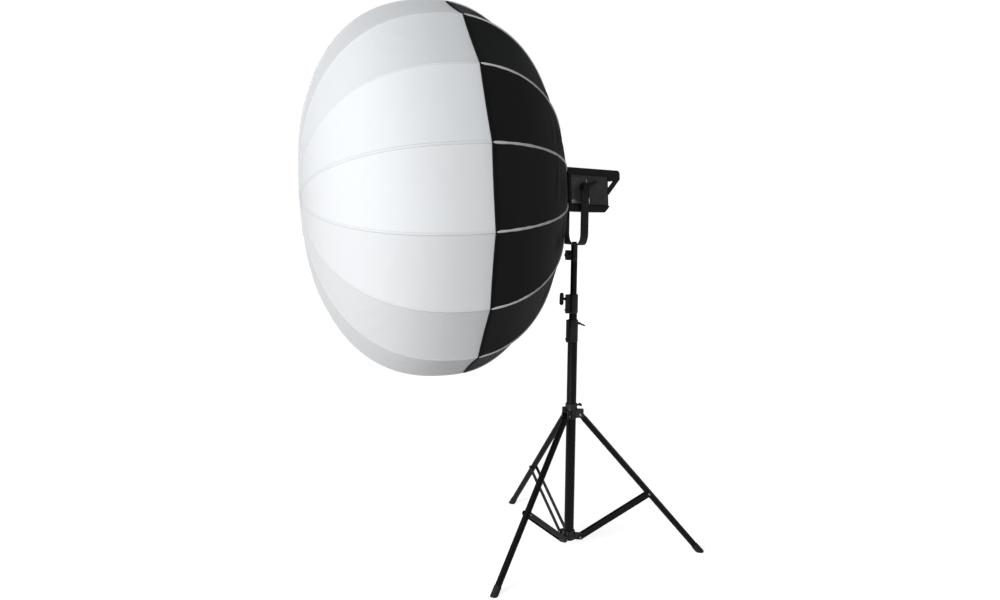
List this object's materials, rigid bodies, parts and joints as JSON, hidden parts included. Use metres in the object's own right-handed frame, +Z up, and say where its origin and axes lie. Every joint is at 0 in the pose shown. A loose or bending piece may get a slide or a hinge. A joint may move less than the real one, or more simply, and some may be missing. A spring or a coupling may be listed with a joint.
{
  "type": "lantern softbox with light stand",
  "caption": "Ribbed globe softbox with a white front and black rear cover on a lamp head, carried by a tilting yoke on a telescopic folding tripod stand.",
  "frame": {"origin": "on the floor, under the middle of the object's bounding box", "axes": "+Z up along the stand's column; the lantern faces -Y, tipped 3 degrees nose-down; +X completes the frame"},
  "size_m": [1.1744, 1.3879, 1.8586],
  "materials": {
    "white_cloth": "matt woven diffusion cloth",
    "black_cloth": "matt coated nylon",
    "fibreglass": "satin pultruded rod",
    "black_plastic": "moulded, fine texture",
    "ring_plastic": "moulded, satin",
    "lamp_casing": "black anodised",
    "lamp_mesh": "black, perforated",
    "bare_aluminium": "extruded",
    "emitter": "phosphor yellow",
    "steel_bayonet": "bright, brushed",
    "yoke_paint": "satin black powder coat",
    "stand_tube": "satin black anodised",
    "stand_casting": "black painted die casting",
    "foot_rubber": "matt"
  },
  "bodies": {
    "column": {"column_tube": "stand_tube", "lower_collar": "stand_casting", "spider": "stand_casting"},
    "mid_section": {"mid_tube": "stand_tube", "upper_collar": "stand_casting"},
    "top_section": {"top_tube": "stand_tube"},
    "yoke": {"yoke_bracket": "yoke_paint", "spigot_receiver": "stand_casting"},
    "lamp_head": {"lamp_housing": "lamp_casing", "rear_panel": "lamp_casing", "side_grille_left": "lamp_mesh", "side_grille_right": "lamp_mesh", "top_handle": "black_plastic", "bottom_rail": "black_plastic", "heat_sink": "bare_aluminium", "led_emitter": "emitter", "power_inlet": "black_plastic", "tilt_pivot_left": "stand_casting", "tilt_pivot_right": "stand_casting", "bayonet_mount": "steel_bayonet"},
    "softbox": {"white_diffuser": "white_cloth", "black_skirt": "black_cloth", "rib_01": "fibreglass", "rib_02": "fibreglass", "rib_03": "fibreglass", "rib_04": "fibreglass", "rib_05": "fibreglass", "rib_06": "fibreglass", "rib_07": "fibreglass", "rib_08": "fibreglass", "rib_09": "fibreglass", "rib_10": "fibreglass", "rib_11": "fibreglass", "rib_12": "fibreglass", "rib_13": "fibreglass", "rib_14": "fibreglass", "rib_15": "fibreglass", "rib_16": "fibreglass", "front_hub": "black_plastic", "speed_ring": "ring_plastic", "bayonet_insert": "steel_bayonet"},
    "fan": {"fan_rotor": "black_plastic"},
    "dimmer": {"dimmer_knob": "black_plastic"},
    "switch": {"power_switch": "black_plastic"},
    "latch": {"release_latch": "black_plastic"},
    "tilt_lever": {"tilt_lock_lever": "black_plastic"},
    "receiver_screw": {"receiver_knob": "black_plastic"},
    "collar_knob": {"upper_collar_knob": "black_plastic"},
    "cam_lever": {"lower_collar_lever": "black_plastic"},
    "leg_collar": {"leg_collar": "stand_casting"},
    "collar_screw": {"leg_collar_screw": "black_plastic"},
    "leg_1": {"leg_1": "stand_tube", "foot_1": "foot_rubber"},
    "brace_1": {"brace_1": "stand_tube"},
    "leg_2": {"leg_2": "stand_tube", "foot_2": "foot_rubber"},
    "brace_2": {"brace_2": "stand_tube"},
    "leg_3": {"leg_3": "stand_tube", "foot_3": "foot_rubber"},
    "brace_3": {"brace_3": "stand_tube"}
  },
  "joints": [
    {"name": "mid_slide", "type": "slide", "parent": "column", "child": "mid_section", "axis": [0, 0, 1], "range_m": [-0.015, 0.58]},
    {"name": "top_slide", "type": "slide", "parent": "mid_section", "child": "top_section", "axis": [0, 0, 1], "range_m": [-0.105, 0.55]},
    {"name": "yoke_pan", "type": "hinge", "parent": "top_section", "child": "yoke", "pos_m": [0, 0.24445, 1.064], "axis": [0, 0, 1], "continuous": true},
    {"name": "head_tilt", "type": "hinge", "parent": "yoke", "child": "lamp_head", "pos_m": [0, 0.24445, 1.297], "axis": [-1, 0, 0], "range_deg": [-8, 93]},
    {"name": "softbox_twist", "type": "hinge", "parent": "lamp_head", "child": "softbox", "pos_m": [0, 0.24445, 1.297], "axis": [0, -0.9986, -0.0523], "range_deg": [-40, 0]},
    {"name": "fan_spin", "type": "hinge", "parent": "lamp_head", "child": "fan", "pos_m": [0, 0.2926, 1.29552], "axis": [0, 0.9986, 0.0523], "continuous": true},
    {"name": "dimmer_turn", "type": "hinge", "parent": "lamp_head", "child": "dimmer", "pos_m": [0.034, 0.33473, 1.26168], "axis": [0, 0.9986, 0.0523], "continuous": true},
    {"name": "switch_rock", "type": "hinge", "parent": "lamp_head", "child": "switch", "pos_m": [-0.034, 0.33473, 1.26168], "axis": [1, 0, 0], "range_deg": [0, 16]},
    {"name": "latch_slide", "type": "slide", "parent": "lamp_head", "child": "latch", "axis": [0, 0.9986, 0.0523], "range_m": [0, 0.006], "stiffness_N_per_m": 300},
    {"name": "tilt_lever_turn", "type": "hinge", "parent": "yoke", "child": "tilt_lever", "pos_m": [0.0921, 0.24445, 1.297], "axis": [1, 0, 0], "range_deg": [0, 90]},
    {"name": "receiver_knob_turn", "type": "hinge", "parent": "yoke", "child": "receiver_screw", "pos_m": [0, 0.23225, 1.064], "axis": [0, 1, 0], "continuous": true},
    {"name": "collar_knob_turn", "type": "hinge", "parent": "mid_section", "child": "collar_knob", "pos_m": [0, 0.21565, 0.91], "axis": [0, 1, 0], "range_deg": [0, 180]},
    {"name": "cam_lever_open", "type": "hinge", "parent": "column", "child": "cam_lever", "pos_m": [0, 0.26795, 0.822], "axis": [1, 0, 0], "range_deg": [0, 75]},
    {"name": "leg_collar_slide", "type": "slide", "parent": "column", "child": "leg_collar", "axis": [0, 0, 1], "range_m": [0, 0.2185]},
    {"name": "collar_screw_turn", "type": "hinge", "parent": "leg_collar", "child": "collar_screw", "pos_m": [0, 0.26625, 0.526], "axis": [0, 1, 0], "continuous": true},
    {"name": "leg_1_fold", "type": "hinge", "parent": "leg_collar", "child": "leg_1", "pos_m": [0.0214, 0.21803, 0.493], "axis": [0.7771, 0.6293, 0], "range_deg": [0, 37.49]},
    {"name": "brace_1_swing", "type": "hinge", "parent": "column", "child": "brace_1", "pos_m": [0.02643, 0.21181, 0.04], "axis": [0.7771, 0.6293, 0], "range_deg": [-50.95, 0]},
    {"name": "leg_2_fold", "type": "hinge", "parent": "leg_collar", "child": "leg_2", "pos_m": [0.01218, 0.2762, 0.493], "axis": [-0.9336, 0.3584, 0], "range_deg": [0, 37.49]},
    {"name": "brace_2_swing", "type": "hinge", "parent": "column", "child": "brace_2", "pos_m": [0.01505, 0.28367, 0.04], "axis": [-0.9336, 0.3584, 0], "range_deg": [-50.95, 0]},
    {"name": "leg_3_fold", "type": "hinge", "parent": "leg_collar", "child": "leg_3", "pos_m": [-0.03358, 0.23914, 0.493], "axis": [0.1564, -0.9877, 0], "range_deg": [0, 37.49]},
    {"name": "brace_3_swing", "type": "hinge", "parent": "column", "child": "brace_3", "pos_m": [-0.04148, 0.23788, 0.04], "axis": [0.1564, -0.9877, 0], "range_deg": [-50.95, 0]}
  ],
  "couplings": [
    {"joint": "leg_1_fold", "follows": "leg_collar_slide", "rad_per_m": 2.9936},
    {"joint": "brace_1_swing", "follows": "leg_collar_slide", "rad_per_m": -4.0684},
    {"joint": "leg_2_fold", "follows": "leg_collar_slide", "rad_per_m": 2.9936},
    {"joint": "brace_2_swing", "follows": "leg_collar_slide", "rad_per_m": -4.0684},
    {"joint": "leg_3_fold", "follows": "leg_collar_slide", "rad_per_m": 2.9936},
    {"joint": "brace_3_swing", "follows": "leg_collar_slide", "rad_per_m": -4.0684}
  ]
}
